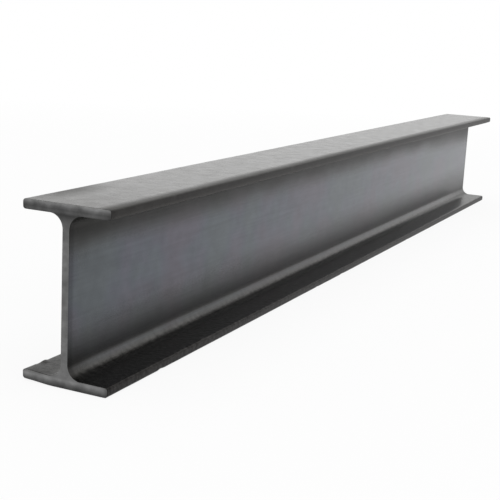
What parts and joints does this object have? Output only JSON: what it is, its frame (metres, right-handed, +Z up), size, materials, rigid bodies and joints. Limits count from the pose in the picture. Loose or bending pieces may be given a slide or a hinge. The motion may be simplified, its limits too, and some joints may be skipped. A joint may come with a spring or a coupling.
{
  "type": "steel i-beam",
  "caption": "Short length of hot-rolled steel I-beam with parallel flanges, filleted roots and square saw-cut ends, for carrying or framing loads.",
  "frame": {"origin": "on the underside of the bottom flange, midway along the beam and midway across it", "axes": "+Y along the beam, +X across the flanges, +Z up the web towards the top flange"},
  "size_m": [0.055, 0.82, 0.1],
  "materials": {
    "mill_scaled_steel": "matte"
  },
  "bodies": {
    "root": {"i_beam": "mill_scaled_steel"}
  },
  "joints": []
}
